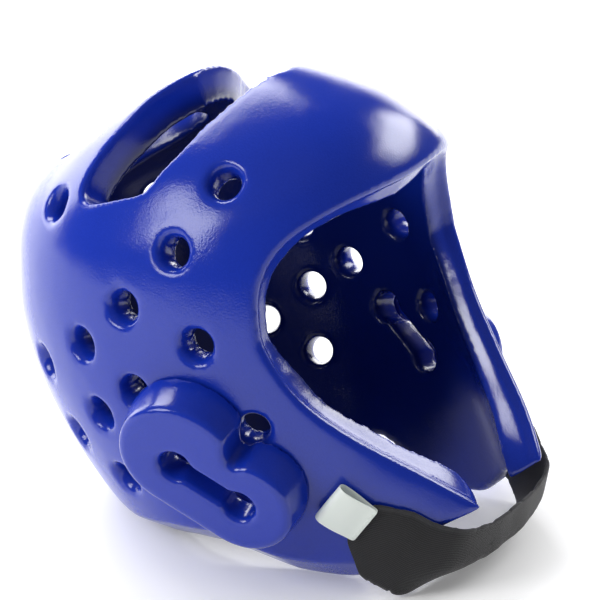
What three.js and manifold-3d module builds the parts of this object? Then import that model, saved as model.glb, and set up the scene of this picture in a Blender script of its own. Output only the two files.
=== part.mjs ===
// Taekwondo headgear: a dipped foam shell with raised ear pads, an elastic chin strap and a bare label.
// The head frame has x to the wearer's right, y forward and z up, with its origin inside the head.
// The finished part leans back on its nape and strap, faces -Y and stands on z = 0, in millimetres.
import * as THREE from 'three';
import { mergeVertices } from 'three/addons/utils/BufferGeometryUtils.js';
import Module from 'manifold-3d';

const wasm = await Module();
wasm.setup();

// Head form
const halfWidth = 97;
const frontReach = 112;
const backReach = 111;
const crownHeight = 112;
const jawDepth = 112;
const sideWall = 17;
const browWall = 15;
const napeWall = 18;
const crownWall = 18;

// Vents
const ventBore = 13;
const ventMouth = 20;
const ventFlare = 6;
const ventOverlap = 4;

// Crown band between the two crown openings
const bandWidth = 19;

// Ear pads: a rear upper lobe and a front lower lobe with a waist between them, and a bone-shaped slot
const padRearLobe = 28;
const padFrontLobe = 24;
const padLobeSpacing = 35;
const padWaistDip = 13;
const padWaistShift = 3;
const padRearStart = 60;
const padFrontEnd = 110;
const padHeight = 16;
const padShoulder = 3;
const padDraft = 2;
const padForward = 28;
const padDropShare = 0.491;
const padTurn = 7;
const padTilt = 16;
const padSlant = 54;
const slotLength = 48;
const slotWidth = 9;
const slotEndRadius = 7.5;

// Chin strap and label
const strapWidth = 40;
const strapThickness = 2;
const labelWidth = 20;
const labelReach = 21;
const labelLift = 7;
const labelThickness = 0.6;
const labelSeam = 3;
const labelSeat = 0.8;
const labelSeamLift = 0.72;
const labelBulge = 0.45;
const labelFull = 0.6;

// Fit between pieces, and how the helmet rests
const clearance = 0.3;
const lowerBevel = 13;
const lowerLip = 0.3;
const napeFlat = 12;
const leanDegrees = 22;
const napeLevel = 83;
const napeForward = -55;

const blueVinyl = new THREE.MeshStandardMaterial({ color: 0x1c33a8, roughness: 0.22, metalness: 0 });
const padVinyl = new THREE.MeshStandardMaterial({ color: 0x2038ac, roughness: 0.25, metalness: 0 });
const blackElastic = new THREE.MeshStandardMaterial({ color: 0x141419, roughness: 0.85, metalness: 0 });
const whiteSatin = new THREE.MeshStandardMaterial({ color: 0xe4ece6, roughness: 0.5, metalness: 0 });

// Sections of the outer form from the jaw up: height as a share of jawDepth below zero and of crownHeight
// above it, half width, front and back as shares of the form's sizes, how far the section's middle lies
// forward as a share of frontReach, and how square its front half is.
const formSections = [
  { height: -1.25, width: 0.62, front: 1.05, back: 0.5, middle: 0, square: 2.2 },
  { height: -1.0, width: 0.74, front: 1.05, back: 0.63, middle: 0, square: 2.2 },
  { height: -0.76, width: 0.835, front: 1.03, back: 0.775, middle: 0, square: 2.2 },
  { height: -0.535, width: 0.918, front: 0.98, back: 0.875, middle: 0, square: 2.2 },
  { height: -0.27, width: 0.98, front: 0.955, back: 0.955, middle: 0, square: 2.25 },
  { height: 0.0, width: 1.0, front: 0.975, back: 1.0, middle: 0, square: 2.4 },
  { height: 0.25, width: 0.98, front: 1.0, back: 0.99, middle: 0, square: 2.45 },
  { height: 0.445, width: 0.93, front: 0.99, back: 0.93, middle: 0, square: 2.4 },
  { height: 0.59, width: 0.855, front: 0.94, back: 0.88, middle: 0.0, square: 2.3 },
  { height: 0.715, width: 0.76, front: 0.81, back: 0.82, middle: 0.03, square: 2.2 },
  { height: 0.83, width: 0.61, front: 0.61, back: 0.7, middle: 0.08, square: 2.1 },
  { height: 0.92, width: 0.435, front: 0.41, back: 0.52, middle: 0.13, square: 2.0 },
  { height: 0.975, width: 0.258, front: 0.24, back: 0.28, middle: 0.16, square: 2.0 },
  { height: 1.0, width: 0, front: 0, back: 0, middle: 0.18, square: 2.0 },
];

// Face opening, right half, from the brow's middle down to the chin gap. Both edges of the rim are shares
// of halfWidth, of frontReach, and of crownHeight above zero or jawDepth below it.
const faceRim = [
  { inX: 0, inY: 0.866, inZ: 0.31, outX: 0, outY: 0.99, outZ: 0.43 },
  { inX: 0.2, inY: 0.862, inZ: 0.325, outX: 0.25, outY: 0.973, outZ: 0.433 },
  { inX: 0.36, inY: 0.84, inZ: 0.335, outX: 0.475, outY: 0.91, outZ: 0.424 },
  { inX: 0.519, inY: 0.759, inZ: 0.314, outX: 0.644, outY: 0.808, outZ: 0.396 },
  { inX: 0.599, inY: 0.672, inZ: 0.262, outX: 0.734, outY: 0.735, outZ: 0.358 },
  { inX: 0.643, inY: 0.612, inZ: 0.21, outX: 0.793, outY: 0.673, outZ: 0.3 },
  { inX: 0.668, inY: 0.564, inZ: 0.131, outX: 0.835, outY: 0.622, outZ: 0.22 },
  { inX: 0.673, inY: 0.536, inZ: 0.042, outX: 0.855, outY: 0.585, outZ: 0.12 },
  { inX: 0.678, inY: 0.53, inZ: -0.037, outX: 0.87, outY: 0.567, outZ: -0.02 },
  { inX: 0.629, inY: 0.581, inZ: -0.197, outX: 0.835, outY: 0.578, outZ: -0.184 },
  { inX: 0.579, inY: 0.643, inZ: -0.354, outX: 0.747, outY: 0.627, outZ: -0.363 },
  { inX: 0.469, inY: 0.741, inZ: -0.512, outX: 0.639, outY: 0.721, outZ: -0.539 },
  { inX: 0.386, inY: 0.813, inZ: -0.632, outX: 0.536, outY: 0.83, outZ: -0.688 },
  { inX: 0.273, inY: 0.884, inZ: -0.742, outX: 0.423, outY: 0.935, outZ: -0.836 },
  { inX: 0.175, inY: 0.92, inZ: -0.85, outX: 0.32, outY: 0.973, outZ: -0.946 },
  { inX: 0.145, inY: 0.92, inZ: -0.98, outX: 0.29, outY: 0.99, outZ: -1.035 },
  { inX: 0.135, inY: 0.92, inZ: -1.34, outX: 0.28, outY: 1, outZ: -1.34 },
];

// Front crown opening, right half, from the band's middle round to the front: shares of halfWidth
// and of frontReach. Rows marked band lie on the band's front edge.
const frontCrownOpening = [
  { x: 0, y: 0.1, band: true },
  { x: 0.22, y: 0.062, band: true },
  { x: 0.43, y: 0.01, band: true },
  { x: 0.6, y: -0.07, band: true },
  { x: 0.72, y: -0.115, band: true },
  { x: 0.78, y: -0.1 },
  { x: 0.8, y: -0.035 },
  { x: 0.8, y: 0.12 },
  { x: 0.785, y: 0.22 },
  { x: 0.7, y: 0.305 },
  { x: 0.62, y: 0.366 },
  { x: 0.52, y: 0.415 },
  { x: 0.4, y: 0.465 },
  { x: 0.22, y: 0.51 },
  { x: 0, y: 0.54 },
];

// Rear crown opening, right half, from the back round to where it meets the band's rear edge.
const rearCrownOpening = [
  { x: 0, y: -0.68 },
  { x: 0.12, y: -0.67 },
  { x: 0.22, y: -0.63 },
  { x: 0.33, y: -0.55 },
  { x: 0.42, y: -0.44 },
  { x: 0.46, y: -0.34 },
  { x: 0.465, y: -0.26 },
];
const rearOpeningHalfWidth = 0.44;

// Vents on the right side, shares of frontReach and of crownHeight or jawDepth.
const sideVents = [
  { y: 0.565, z: 0.625 },
  { y: 0.35, z: 0.43 },
  { y: 0.063, z: 0.262 },
  { y: -0.222, z: 0.142 },
  { y: -0.563, z: 0.063 },
  { y: -0.291, z: 0.688 },
  { y: -0.74, z: 0.5 },
  { y: 0.355, z: 0.054 },
  { y: -0.011, z: -0.082 },
  { y: -0.262, z: -0.16 },
  { y: -0.528, z: -0.26 },
  { y: 0.438, z: -0.337 },
  { y: -0.306, z: -0.465 },
];

// Lower rim from the nape's end forward: shares of frontReach and jawDepth, as drops below the head's
// centre, with how high the rounding of its outer edge reaches as a share of lowerBevel.
const lowerRim = [
  { y: -0.17, z: 0.8, bevel: 1 },
  { y: 0, z: 0.845, bevel: 1 },
  { y: 0.12, z: 0.91, bevel: 1 },
  { y: 0.23, z: 0.98, bevel: 1 },
  { y: 0.36, z: 1.045, bevel: 1 },
  { y: 0.45, z: 1.085, bevel: 1 },
  { y: 0.55, z: 1.09, bevel: 0.8 },
  { y: 0.66, z: 1.04, bevel: 0.6 },
  { y: 0.76, z: 0.985, bevel: 0.4 },
  { y: 0.86, z: 0.965, bevel: 0.2 },
  { y: 0.96, z: 0.955, bevel: 0.15 },
  { y: 1.3, z: 0.93, bevel: 0.15 },
];

// Chin strap, right half, from the cheek to under the chin: its middle line in shares of halfWidth,
// frontReach and jawDepth, how steeply it rises to its front edge and falls to its rear edge in
// degrees, and how far it is held on the shell, where 1 takes its x from the shell's form.
const strapRows = [
  { x: 0.72, y: 0.579, z: -0.864, frontPitch: 36, rearPitch: 80, held: 1 },
  { x: 0.6, y: 0.693, z: -0.963, frontPitch: 44, rearPitch: 46, held: 1 },
  { x: 0.5, y: 0.751, z: -1.048, frontPitch: 46, rearPitch: 47, held: 0.9 },
  { x: 0.4, y: 0.825, z: -1.12, frontPitch: 52, rearPitch: 14, held: 0.5 },
  { x: 0.17, y: 0.857, z: -1.168, frontPitch: 54, rearPitch: -2, held: 0 },
  { x: 0, y: 0.862, z: -1.168, frontPitch: 54, rearPitch: -5, held: 0 },
];

const around = 40;
const ventSides = 10;
const padSteps = 9;
const slotSteps = 6;
const labelSteps = 4;
const ringsPerSection = 2;
const stepsPerRimRow = 2;
const stepsPerStrapRow = 2;
const strapSeatGap = 1;
const searchSteps = 24;

// How far the cutting tools reach past the wall they cut, as shares of the wall's own line or thickness
const cutBefore = 0.6;
const cutPast = 1.8;
const keepPast = 1.25;
const crownAxis = 0.18;
const faceMiddle = -0.4;
const farOutside = 3;

const heightOf = (share) => share * (share < 0 ? jawDepth : crownHeight);

// Smooth value between the rows of a table of numbers, for any column.
function smoothRow(rows, place) {
  const last = rows.length - 1;
  const start = Math.min(Math.floor(place), last - 1);
  const t = place - start;
  const row = {};
  for (const column of Object.keys(rows[0])) {
    const before = rows[Math.max(start - 1, 0)][column];
    const from = rows[start][column];
    const to = rows[start + 1][column];
    const after = rows[Math.min(start + 2, last)][column];
    const slopeIn = (to - before) / 2;
    const slopeOut = (after - from) / 2;
    row[column] = (2 * t ** 3 - 3 * t ** 2 + 1) * from + (t ** 3 - 2 * t ** 2 + t) * slopeIn
      + (3 * t ** 2 - 2 * t ** 3) * to + (t ** 3 - t ** 2) * slopeOut;
  }
  return row;
}

const outerSizes = (grow = 0) => ({
  width: halfWidth + grow,
  front: frontReach + grow,
  back: backReach + grow,
  top: crownHeight + grow,
  wall: 0,
});

const innerSizes = () => ({
  width: halfWidth - sideWall,
  front: frontReach - browWall,
  back: backReach - napeWall,
  top: crownHeight - crownWall,
  wall: sideWall,
});

// Half width of a section; below the head's middle the side wall keeps its full thickness.
const widthAt = (row, sizes) => row.width * sizes.width - (row.height < 0 ? (1 - row.width) * sizes.wall : 0);

// Point of a section at an angle from the wearer's right, counted towards the face.
function ringPoint(row, angle, sizes, z) {
  const c = Math.cos(angle);
  const s = Math.sin(angle);
  const power = 2 / (s > 0 ? row.square : 2);
  const reach = s > 0 ? row.front * sizes.front : row.back * sizes.back;
  return new THREE.Vector3(
    widthAt(row, sizes) * Math.sign(c) * Math.abs(c) ** power,
    row.middle * frontReach + reach * Math.sign(s) * Math.abs(s) ** power,
    z,
  );
}

const ringAngles = Array.from({ length: around }, (_, i) => (2 * Math.PI * i) / around);

// One ring of the head form at a place in the table of sections.
function formRing(place, sizes) {
  const row = smoothRow(formSections, place);
  const z = row.height * (row.height < 0 ? jawDepth : sizes.top);
  return ringAngles.map((angle) => ringPoint(row, angle, sizes, z));
}

// Closed solid through a list of loops with equal numbers of points, ended by a point at each end.
function loftSolid(loops, startPoint, endPoint) {
  const positions = [];
  const face = (a, b, c) => positions.push(...a.toArray(), ...b.toArray(), ...c.toArray());
  const count = loops[0].length;
  for (let i = 0; i < count; i += 1) {
    const j = (i + 1) % count;
    face(startPoint, loops[0][j], loops[0][i]);
    for (let k = 0; k + 1 < loops.length; k += 1) {
      face(loops[k][i], loops[k][j], loops[k + 1][j]);
      face(loops[k][i], loops[k + 1][j], loops[k + 1][i]);
    }
    face(endPoint, loops.at(-1)[i], loops.at(-1)[j]);
  }
  const geometry = new THREE.BufferGeometry();
  geometry.setAttribute('position', new THREE.Float32BufferAttribute(positions, 3));
  return solidFrom(geometry);
}

function solidFrom(geometry) {
  geometry.deleteAttribute('normal');
  geometry.deleteAttribute('uv');
  const merged = mergeVertices(geometry, 1e-4);
  const solid = new wasm.Manifold(new wasm.Mesh({
    numProp: 3,
    vertProperties: new Float32Array(merged.attributes.position.array),
    triVerts: new Uint32Array(merged.index.array),
  }));
  if (solid.volume() < 0) throw new Error('a solid is inside out');
  return solid;
}

function geometryFrom(solid) {
  const mesh = solid.getMesh();
  const geometry = new THREE.BufferGeometry();
  geometry.setAttribute('position', new THREE.BufferAttribute(mesh.vertProperties, 3));
  geometry.setIndex(new THREE.BufferAttribute(mesh.triVerts, 1));
  const flat = geometry.toNonIndexed();
  flat.computeVertexNormals();
  return flat;
}

function headForm(sizes) {
  const rings = [];
  const last = (formSections.length - 1) * ringsPerSection;
  for (let i = 0; i < last; i += 1) rings.push(formRing(i / ringsPerSection, sizes));
  const bottom = new THREE.Vector3(0, 0, rings[0][0].z);
  return loftSolid(rings, bottom, new THREE.Vector3(0, formSections.at(-1).middle * frontReach, sizes.top));
}

// Section of the outer form at a height, or nothing above the crown.
function sectionAt(z) {
  let high = formSections.findIndex((row) => heightOf(row.height) > z);
  if (high < 0) return null;
  high = Math.max(high, 1);
  let low = high - 1;
  for (let i = 0; i < searchSteps; i += 1) {
    const middle = (low + high) / 2;
    if (heightOf(smoothRow(formSections, middle).height) > z) high = middle;
    else low = middle;
  }
  return smoothRow(formSections, low);
}

// A section as a field: below 1 inside and above 1 outside.
function sectionField(row, sizes, x, forward) {
  const power = forward > 0 ? row.square : 2;
  const reach = forward > 0 ? row.front * sizes.front : row.back * sizes.back;
  return Math.abs(x / widthAt(row, sizes)) ** power + Math.abs(forward / reach) ** power;
}

function formField(x, y, z) {
  const row = sectionAt(z);
  return row ? sectionField(row, outerSizes(), x, y - row.middle * frontReach) : farOutside;
}

function findEdge(inside, outside, fieldAt) {
  let low = inside;
  let high = outside;
  for (let i = 0; i < searchSteps; i += 1) {
    const middle = (low + high) / 2;
    if (fieldAt(middle) > 1) high = middle;
    else low = middle;
  }
  return low;
}

const sideReach = (y, z) => findEdge(0, farOutside * halfWidth, (x) => formField(x, y, z));
const crownAt = (x, y) => findEdge(0, crownHeight, (z) => formField(x, y, z));

// Where the form at its outer or inner sizes stands at the height and bearing of a point.
function onForm(point, sizes) {
  const row = sectionAt(point.z < 0 ? point.z : (point.z * crownHeight) / sizes.top);
  const centre = row.middle * frontReach;
  const forward = point.y - centre;
  const share = findEdge(0, farOutside, (t) => sectionField(row, sizes, t * point.x, t * forward));
  return new THREE.Vector3(share * point.x, centre + share * forward, point.z);
}

function formNormal(point) {
  const step = 0.5;
  const slope = (dx, dy, dz) => formField(point.x + dx, point.y + dy, point.z + dz)
    - formField(point.x - dx, point.y - dy, point.z - dz);
  return new THREE.Vector3(slope(step, 0, 0), slope(0, step, 0), slope(0, 0, step)).normalize();
}

const across = (point) => new THREE.Vector3(-point.x, point.y, point.z);

// Full loop from its right half, whose first point and, if closed, last point lie on the centre plane.
function mirrorLoop(half, closed) {
  return [...half, ...half.slice(1, closed ? -1 : half.length).reverse().map(across)];
}

function faceCutter() {
  const inner = [];
  const outer = [];
  const steps = (faceRim.length - 1) * stepsPerRimRow;
  for (let i = 0; i <= steps; i += 1) {
    const row = smoothRow(faceRim, i / stepsPerRimRow);
    const from = new THREE.Vector3(row.inX * halfWidth, row.inY * frontReach, heightOf(row.inZ));
    const to = new THREE.Vector3(row.outX * halfWidth, row.outY * frontReach, heightOf(row.outZ));
    const start = onForm(from, innerSizes());
    const end = onForm(to, outerSizes());
    inner.push(start.clone().lerp(end, -cutBefore));
    outer.push(start.clone().lerp(end, cutPast));
  }
  const loops = [mirrorLoop(inner, false), mirrorLoop(outer, false)];
  const height = faceMiddle * jawDepth;
  const before = new THREE.Vector3(0, farOutside * frontReach, height);
  return loftSolid(loops, new THREE.Vector3(0, 0, height), before);
}

// Cutter through the crown: its walls stand square to the shell across the head.
function crownCutter(half) {
  const axisHeight = crownAxis * crownHeight;
  const above = [];
  const below = [];
  for (const { x, y } of half) {
    const point = new THREE.Vector3(x, y, crownAt(x, y));
    const direction = new THREE.Vector3(x, 0, point.z - axisHeight).normalize();
    above.push(point.clone().addScaledVector(direction, cutPast * crownWall));
    below.push(point.clone().addScaledVector(direction, -cutPast * crownWall));
  }
  const middleY = (half[0].y + half.at(-1).y) / 2;
  const start = new THREE.Vector3(0, middleY, crownHeight / 2);
  const end = new THREE.Vector3(0, middleY, cutPast * crownHeight);
  return loftSolid([mirrorLoop(below, true), mirrorLoop(above, true)], start, end);
}

const floorSlope = Math.tan(THREE.MathUtils.degToRad(leanDegrees));
const floorAt = (y) => -napeLevel - floorSlope * (y - napeForward);

// Lower rim as points from the back forward; the nape's part lies level with the floor.
function lowerRimLine() {
  const far = -farOutside * backReach;
  const napeEnd = napeForward + napeFlat;
  const nape = [far, napeEnd].map((y) => ({ y, z: floorAt(y), bevel: lowerBevel }));
  return [...nape, ...lowerRim.map((row) => ({
    y: row.y * frontReach,
    z: -row.z * jawDepth,
    bevel: row.bevel * lowerBevel,
  }))];
}

function lowerRimAt(y) {
  const line = lowerRimLine();
  const next = Math.max(1, line.findIndex((row) => row.y > y));
  const share = (y - line[next - 1].y) / (line[next].y - line[next - 1].y);
  return {
    z: THREE.MathUtils.lerp(line[next - 1].z, line[next].z, share),
    bevel: THREE.MathUtils.lerp(line[next - 1].bevel, line[next].bevel, share),
  };
}

// Lower cutter: everything below the neck line.
function neckCutter() {
  const line = lowerRimLine();
  const outline = new THREE.Shape([
    new THREE.Vector2(line[0].y, -farOutside * jawDepth),
    new THREE.Vector2(line.at(-1).y, -farOutside * jawDepth),
    ...line.reverse().map((row) => new THREE.Vector2(row.y, row.z)),
  ]);
  const width = farOutside * halfWidth;
  const geometry = new THREE.ExtrudeGeometry(outline, { depth: width, bevelEnabled: false, steps: 1 });
  geometry.translate(0, 0, -width / 2);
  const axes = new THREE.Matrix4().set(0, 0, 1, 0, 1, 0, 0, 0, 0, 1, 0, 0, 0, 0, 0, 1);
  geometry.applyMatrix4(axes);
  return solidFrom(geometry);
}

// Room kept for the shell above the lower rim: it slants in across the wall to leave a narrow lip.
function lowerKeep() {
  const below = [];
  const above = [];
  const beside = [];
  const top = [];
  for (const angle of ringAngles) {
    let rim = lowerRimAt(0);
    let lip;
    for (let i = 0; i < searchSteps; i += 1) {
      const section = sectionAt(rim.z);
      lip = ringPoint(section, angle, innerSizes(), rim.z)
        .lerp(ringPoint(section, angle, outerSizes(), rim.z), lowerLip);
      const found = lowerRimAt(lip.y);
      rim = { z: (rim.z + found.z) / 2, bevel: found.bevel };
    }
    const high = rim.z + rim.bevel;
    const edge = ringPoint(sectionAt(high), angle, outerSizes(), high);
    below.push(lip.clone().lerp(edge, -cutBefore));
    above.push(lip.clone().lerp(edge, keepPast));
    beside.push(new THREE.Vector3(cutPast * edge.x, cutPast * edge.y, high + rim.bevel));
    top.push(new THREE.Vector3(cutPast * edge.x, cutPast * edge.y, cutPast * crownHeight));
  }
  const bottom = new THREE.Vector3(0, 0, -cutPast * jawDepth);
  return loftSolid([below, above, beside, top], bottom, new THREE.Vector3(0, 0, farOutside * crownHeight));
}

// Trumpet tool for one vent, along +Z with its outer mouth at z = 0.
function ventTool() {
  const bore = ventBore / 2;
  const mouth = ventMouth / 2;
  const depth = sideWall + ventOverlap;
  const profile = [
    [0, -depth],
    [mouth, -depth],
    [bore, ventFlare / 2 - sideWall],
    [bore, -ventFlare],
    [mouth, 0],
    [mouth + ventOverlap, ventOverlap],
    [0, ventOverlap],
  ].map(([radius, z]) => new THREE.Vector2(radius, z));
  const geometry = new THREE.LatheGeometry(profile, ventSides);
  geometry.rotateX(Math.PI / 2);
  return geometry;
}

function ventSolids() {
  const tools = [];
  for (const { y, z } of sideVents) {
    const place = new THREE.Vector3(0, y * frontReach, heightOf(z));
    place.x = sideReach(place.y, place.z);
    const normal = formNormal(place);
    for (const side of [1, -1]) {
      const geometry = ventTool();
      const direction = new THREE.Vector3(side * normal.x, normal.y, normal.z);
      geometry.applyQuaternion(new THREE.Quaternion().setFromUnitVectors(new THREE.Vector3(0, 0, 1), direction));
      geometry.translate(side * place.x, place.y, place.z);
      tools.push(solidFrom(geometry));
    }
  }
  return tools;
}

function shellSolid() {
  let shell = headForm(outerSizes()).subtract(headForm(innerSizes()));
  shell = shell.subtract(faceCutter());
  const front = frontCrownOpening.map((row) => ({ x: row.x * halfWidth, y: row.y * frontReach }));
  const bandRear = frontCrownOpening
    .filter((row) => row.band && row.x <= rearOpeningHalfWidth)
    .reverse()
    .map((row) => ({ x: row.x * halfWidth, y: row.y * frontReach - bandWidth }));
  const rear = rearCrownOpening.map((row) => ({ x: row.x * halfWidth, y: row.y * frontReach }));
  shell = shell.subtract(crownCutter(front));
  shell = shell.subtract(crownCutter([...rear, ...bandRear]));
  for (const tool of ventSolids()) shell = shell.subtract(tool);
  return shell.subtract(neckCutter()).intersect(lowerKeep());
}

// Kidney outline of the ear pad with its length along x, grown outwards by a margin.
function padOutline(grow) {
  const half = padLobeSpacing / 2;
  const rear = padRearLobe + grow;
  const front = padFrontLobe + grow;
  const rise = padRearLobe - padFrontLobe;
  const rearStart = THREE.MathUtils.degToRad(padRearStart);
  const frontEnd = THREE.MathUtils.degToRad(padFrontEnd);
  const outline = new THREE.Path();
  outline.absarc(-half, rise, rear, rearStart, 1.5 * Math.PI, false);
  outline.absarc(half, 0, front, -Math.PI / 2, frontEnd, false);
  const waist = new THREE.Vector2(padWaistShift, padFrontLobe - padWaistDip + grow);
  outline.quadraticCurveTo(waist.x, waist.y, -half + rear * Math.cos(rearStart), rise + rear * Math.sin(rearStart));
  const points = outline.getPoints(padSteps);
  points.pop();
  return points;
}

// Bone-shaped slot outline: a straight channel with round ends wider than it.
function slotOutline(grow) {
  const half = slotLength / 2 - slotEndRadius;
  const radius = slotEndRadius + grow;
  const neck = Math.asin((slotWidth / 2 + grow) / radius);
  const outline = new THREE.Shape();
  outline.absarc(-half, 0, radius, neck, 2 * Math.PI - neck, false);
  outline.absarc(half, 0, radius, Math.PI + neck, 3 * Math.PI - neck, false);
  return new THREE.Shape(outline.getPoints(slotSteps));
}

// Frame of the right pad's face: x along its length to the lower front lobe, z out of the head.
function padFrame() {
  const middle = new THREE.Vector3(0, padForward, -padDropShare * jawDepth);
  middle.x = sideReach(middle.y, middle.z) + padHeight;
  const turn = Math.tan(THREE.MathUtils.degToRad(padTurn));
  const tilt = Math.tan(THREE.MathUtils.degToRad(padTilt));
  const normal = new THREE.Vector3(1, turn, -tilt).normalize();
  const forward = new THREE.Vector3(0, 1, 0).addScaledVector(normal, -normal.y).normalize();
  const up = new THREE.Vector3().crossVectors(normal, forward);
  const slant = THREE.MathUtils.degToRad(padSlant);
  const along = forward.multiplyScalar(Math.cos(slant)).addScaledVector(up, -Math.sin(slant));
  const across = new THREE.Vector3().crossVectors(normal, along);
  return new THREE.Matrix4().makeBasis(along, across, normal).setPosition(middle);
}

function slotSolid(grow) {
  const depth = padHeight + 3 * sideWall;
  const geometry = new THREE.ExtrudeGeometry(slotOutline(grow), { depth, bevelEnabled: false, steps: 1 });
  geometry.translate(0, 0, padHeight - depth);
  geometry.applyMatrix4(padFrame());
  return solidFrom(geometry);
}

function padSolid() {
  const frame = padFrame();
  const rootDepth = -padHeight - sideWall;
  const levels = [[padDraft, rootDepth], [padDraft, -padHeight], [0, -padShoulder], [-padShoulder, 0]];
  const loops = levels.map(([grow, z]) => padOutline(grow)
    .map((point) => new THREE.Vector3(point.x, point.y, z).applyMatrix4(frame)));
  const pad = loftSolid(
    loops,
    new THREE.Vector3(0, 0, rootDepth).applyMatrix4(frame),
    new THREE.Vector3(0, 0, 0).applyMatrix4(frame),
  );
  return pad.subtract(headForm(outerSizes(clearance))).subtract(slotSolid(0));
}

// Skin of the strap that faces the head, as one line of points from its front edge to its rear edge.
function strapSkin(row) {
  const middle = new THREE.Vector3(row.x * halfWidth, row.y * frontReach, row.z * jawDepth);
  return [1, 0.5, 0, -0.5, -1].map((share) => {
    const pitch = THREE.MathUtils.degToRad(share > 0 ? row.frontPitch : row.rearPitch);
    const reach = (share * strapWidth) / 2;
    const point = middle.clone().add(new THREE.Vector3(0, reach * Math.cos(pitch), reach * Math.sin(pitch)));
    if (row.held <= 0) return point;
    const seated = point.clone().setX(sideReach(point.y, point.z));
    seated.addScaledVector(formNormal(seated), strapSeatGap);
    return point.lerp(seated, Math.min(row.held, 1));
  });
}

// Right half of the strap's cross sections, each a closed loop of inner and outer points.
function strapSections() {
  const steps = (strapRows.length - 1) * stepsPerStrapRow;
  const skins = [];
  for (let i = 0; i <= steps; i += 1) {
    const row = smoothRow(strapRows, i / stepsPerStrapRow);
    if (i === steps) row.x = 0;
    skins.push(strapSkin(row));
  }
  return skins.map((skin, index) => skin.map((point, column) => {
    const before = skins[Math.max(index - 1, 0)][column];
    const after = skins[Math.min(index + 1, skins.length - 1)][column];
    const along = index === skins.length - 1 ? new THREE.Vector3(-1, 0, 0) : after.clone().sub(before);
    const over = skin[Math.min(column + 1, skin.length - 1)].clone().sub(skin[Math.max(column - 1, 0)]);
    const outward = new THREE.Vector3().crossVectors(over, along).normalize();
    return { inner: point, outer: point.clone().addScaledVector(outward, strapThickness), outward };
  }));
}

const strapLoop = (section) => [
  ...section.map(({ outer }) => outer),
  ...section.map(({ inner }) => inner).reverse(),
];

function middleOf(points) {
  const sum = new THREE.Vector3();
  for (const point of points) sum.add(point);
  return sum.divideScalar(points.length);
}

function strapSolid() {
  const right = strapSections().map(strapLoop);
  const loops = [...right, ...right.slice(0, -1).reverse().map((loop) => loop.map(across))];
  return loftSolid(loops, middleOf(loops[0]), middleOf(loops.at(-1)));
}

// Ribbon folded into a drop-shaped loop, drawn along x from its seam to its fold and extruded by its width.
function labelOutline(inset) {
  const lift = labelLift / 2 - inset;
  const shape = new THREE.Path();
  const seamEnd = labelSeam + inset;
  const fold = labelReach - inset;
  const bulge = labelReach * labelBulge;
  const full = labelReach * labelFull;
  shape.moveTo(seamEnd, inset - labelSeamLift);
  shape.bezierCurveTo(bulge, inset - labelThickness, full, -lift, fold - lift, -lift);
  shape.absarc(fold - lift, 0, lift, -Math.PI / 2, Math.PI / 2, false);
  shape.bezierCurveTo(full, lift, bulge, labelThickness - inset, seamEnd, labelSeamLift - inset);
  return shape.getPoints(labelSteps);
}

function labelSolid() {
  const seam = [new THREE.Vector2(0, labelSeamLift), new THREE.Vector2(0, -labelSeamLift)];
  const shape = new THREE.Shape([...seam, ...labelOutline(0)]);
  shape.holes.push(new THREE.Path(labelOutline(labelThickness)));
  const geometry = new THREE.ExtrudeGeometry(shape, { depth: labelWidth, bevelEnabled: false, steps: 1 });
  const end = strapSections()[0];
  const sideways = end[0].inner.clone().sub(end[2].inner).normalize();
  const outward = end[1].outward;
  const along = new THREE.Vector3().crossVectors(outward, sideways).normalize();
  const normal = new THREE.Vector3().crossVectors(sideways, along);
  const corner = end[0].outer.clone()
    .addScaledVector(sideways, -labelWidth)
    .addScaledVector(along, -labelSeam)
    .addScaledVector(normal, labelSeamLift + labelSeat);
  geometry.applyMatrix4(new THREE.Matrix4().makeBasis(along, normal, sideways).setPosition(corner));
  return solidFrom(geometry);
}

// The same piece on the other side of the head.
function mirrored(geometry) {
  const copy = geometry.clone();
  copy.scale(-1, 1, 1);
  const position = copy.attributes.position;
  const corner = new THREE.Vector3();
  const opposite = new THREE.Vector3();
  for (let i = 0; i < position.count; i += 3) {
    corner.fromBufferAttribute(position, i);
    opposite.fromBufferAttribute(position, i + 2);
    position.setXYZ(i, opposite.x, opposite.y, opposite.z);
    position.setXYZ(i + 2, corner.x, corner.y, corner.z);
  }
  copy.computeVertexNormals();
  return copy;
}

function piece(name, geometry, material) {
  const mesh = new THREE.Mesh(geometry, material);
  mesh.name = name;
  return mesh;
}

const slots = slotSolid(clearance);
const padGeometry = geometryFrom(padSolid());
const leftSlots = solidFrom(mirrored(geometryFrom(slots)));
const shell = shellSolid().subtract(slots).subtract(leftSlots);

const head = new THREE.Group();
head.add(
  piece('shell', geometryFrom(shell), blueVinyl),
  piece('ear_pad_right', padGeometry, padVinyl),
  piece('ear_pad_left', mirrored(padGeometry), padVinyl),
  piece('chin_strap', geometryFrom(strapSolid()), blackElastic),
  piece('care_label', geometryFrom(labelSolid()), whiteSatin),
);
head.rotation.x = THREE.MathUtils.degToRad(leanDegrees);

const turned = new THREE.Group();
turned.add(head);
turned.rotation.z = Math.PI;

const root = new THREE.Group();
root.add(turned);
root.updateMatrixWorld(true);
const box = new THREE.Box3().setFromObject(turned, true);
turned.position.set(-(box.min.x + box.max.x) / 2, -(box.min.y + box.max.y) / 2, -box.min.z);

export default root;
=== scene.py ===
# Looks of the taekwondo headgear: one dipped foam shell, two ear pads, an elastic strap and a bare label.
# The head frame has x to the wearer's right, y forward and z up, in millimetres, as in the part's source.
import math

import bmesh
import bpy
from mathutils import Matrix, Vector


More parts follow.
